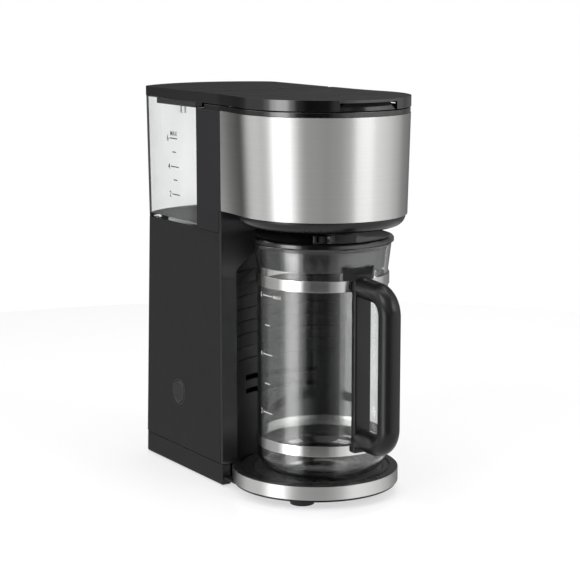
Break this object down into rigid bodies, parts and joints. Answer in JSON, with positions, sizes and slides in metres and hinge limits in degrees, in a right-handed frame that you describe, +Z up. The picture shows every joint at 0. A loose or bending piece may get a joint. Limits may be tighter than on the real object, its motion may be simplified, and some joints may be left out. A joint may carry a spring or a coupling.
{
  "type": "drip coffee maker",
  "caption": "Slim drip coffee maker: black body, steel brew drum with a flip-up lid, clear lift-off water tank behind, glass carafe with a looped handle on a round warming base.",
  "frame": {"origin": "on the floor under the middle of the whole object's plan box", "axes": "+Z up, front with the carafe handle towards -Y, +X to the right as seen from the front"},
  "size_m": [0.1288, 0.2864, 0.2942],
  "materials": {
    "black_plastic": "fine matte moulded black plastic",
    "gloss_black": "polished black plastic, satin on the lid tops",
    "brushed_steel": "brushed stainless steel sheet, fine grain round the drum",
    "steel_fittings": "plated steel fasteners, pins and springs",
    "clear_glass": "clear blown glass",
    "clear_tank": "clear moulded plastic, polished",
    "coated_plate": "dark non-stick coating on pressed steel",
    "heater_aluminium": "extruded aluminium tube",
    "soft_rubber": "silicone and rubber",
    "filter_mesh": "fine nylon mesh in a moulded frame",
    "heater_controls": "ceramic and phenolic cases"
  },
  "bodies": {
    "machine": {"base_housing": "black_plastic", "base_pan": "black_plastic", "base_screws": "steel_fittings", "base_steel_band": "brushed_steel", "body_skirt": "black_plastic", "brew_chamber": "black_plastic", "button_bezel": "black_plastic", "check_valve": "black_plastic", "cold_water_hose": "soft_rubber", "column_front": "black_plastic", "cord_inlet_gland": "soft_rubber", "drip_dish": "gloss_black", "drip_stop_cage": "black_plastic", "drip_stop_spring": "steel_fittings", "drum_frame": "black_plastic", "drum_steel_band": "brushed_steel", "filter_basket": "black_plastic", "heater_clamp": "steel_fittings", "heater_tube": "heater_aluminium", "lid_hinge_pins": "steel_fittings", "mesh_filter": "filter_mesh", "neck_shell": "black_plastic", "power_switch": "black_plastic", "rear_panel": "black_plastic", "rim_ring": "gloss_black", "riser_tube": "soft_rubber", "rubber_feet": "soft_rubber", "side_panel_left": "black_plastic", "side_panel_right": "black_plastic", "socket_seal": "soft_rubber", "spray_plate": "black_plastic", "switch_terminals": "steel_fittings", "tank_deck": "black_plastic", "thermal_fuse": "heater_controls", "thermostat": "heater_controls", "warming_plate": "coated_plate", "water_arm": "black_plastic"},
    "brew_lid": {"brew_lid": "gloss_black"},
    "tank": {"water_tank": "clear_tank", "tank_lid_pin": "steel_fittings", "tank_valve_cage": "black_plastic", "tank_valve_spring": "steel_fittings"},
    "tank_lid": {"tank_lid": "gloss_black"},
    "tank_valve": {"tank_valve": "black_plastic"},
    "power_button": {"power_button": "black_plastic"},
    "carafe": {"carafe_glass": "clear_glass", "carafe_upper_band": "brushed_steel", "carafe_lower_band": "brushed_steel", "handle_bracket": "black_plastic", "carafe_handle": "black_plastic", "handle_screws": "steel_fittings"},
    "carafe_lid": {"carafe_lid": "gloss_black", "lid_seal": "soft_rubber"},
    "drip_stop": {"drip_stop": "black_plastic"}
  },
  "joints": [
    {"name": "brew_lid_hinge", "type": "hinge", "parent": "machine", "child": "brew_lid", "pos_m": [0, 0.027, 0.2892], "axis": [-1, 0, 0], "range_deg": [0, 85]},
    {"name": "tank_lift", "type": "slide", "parent": "machine", "child": "tank", "axis": [0, 0, 1], "range_m": [0, 0.12]},
    {"name": "tank_lid_hinge", "type": "hinge", "parent": "tank", "child": "tank_lid", "pos_m": [0, 0.1332, 0.2893], "axis": [-1, 0, 0], "range_deg": [0, 75]},
    {"name": "tank_valve_push", "type": "slide", "parent": "tank", "child": "tank_valve", "axis": [0, 0, 1], "range_m": [0, 0.003], "stiffness_N_per_m": 150, "springref_m": -0.006, "deforming": ["tank_valve_spring"]},
    {"name": "power_button_press", "type": "slide", "parent": "machine", "child": "power_button", "axis": [1, 0, 0], "range_m": [0, 0.002], "stiffness_N_per_m": 500, "springref_m": -0.003},
    {"name": "carafe_pull_out", "type": "slide", "parent": "machine", "child": "carafe", "axis": [0, -1, 0], "range_m": [0, 0.14]},
    {"name": "carafe_lid_turn", "type": "hinge", "parent": "carafe", "child": "carafe_lid", "pos_m": [0, -0.0502, 0.1932], "axis": [0, 0, 1], "range_deg": [0, 90]},
    {"name": "drip_stop_push", "type": "slide", "parent": "machine", "child": "drip_stop", "axis": [0, 0, 1], "range_m": [0, 0.004], "stiffness_N_per_m": 200, "springref_m": -0.006, "deforming": ["drip_stop_spring"]}
  ]
}
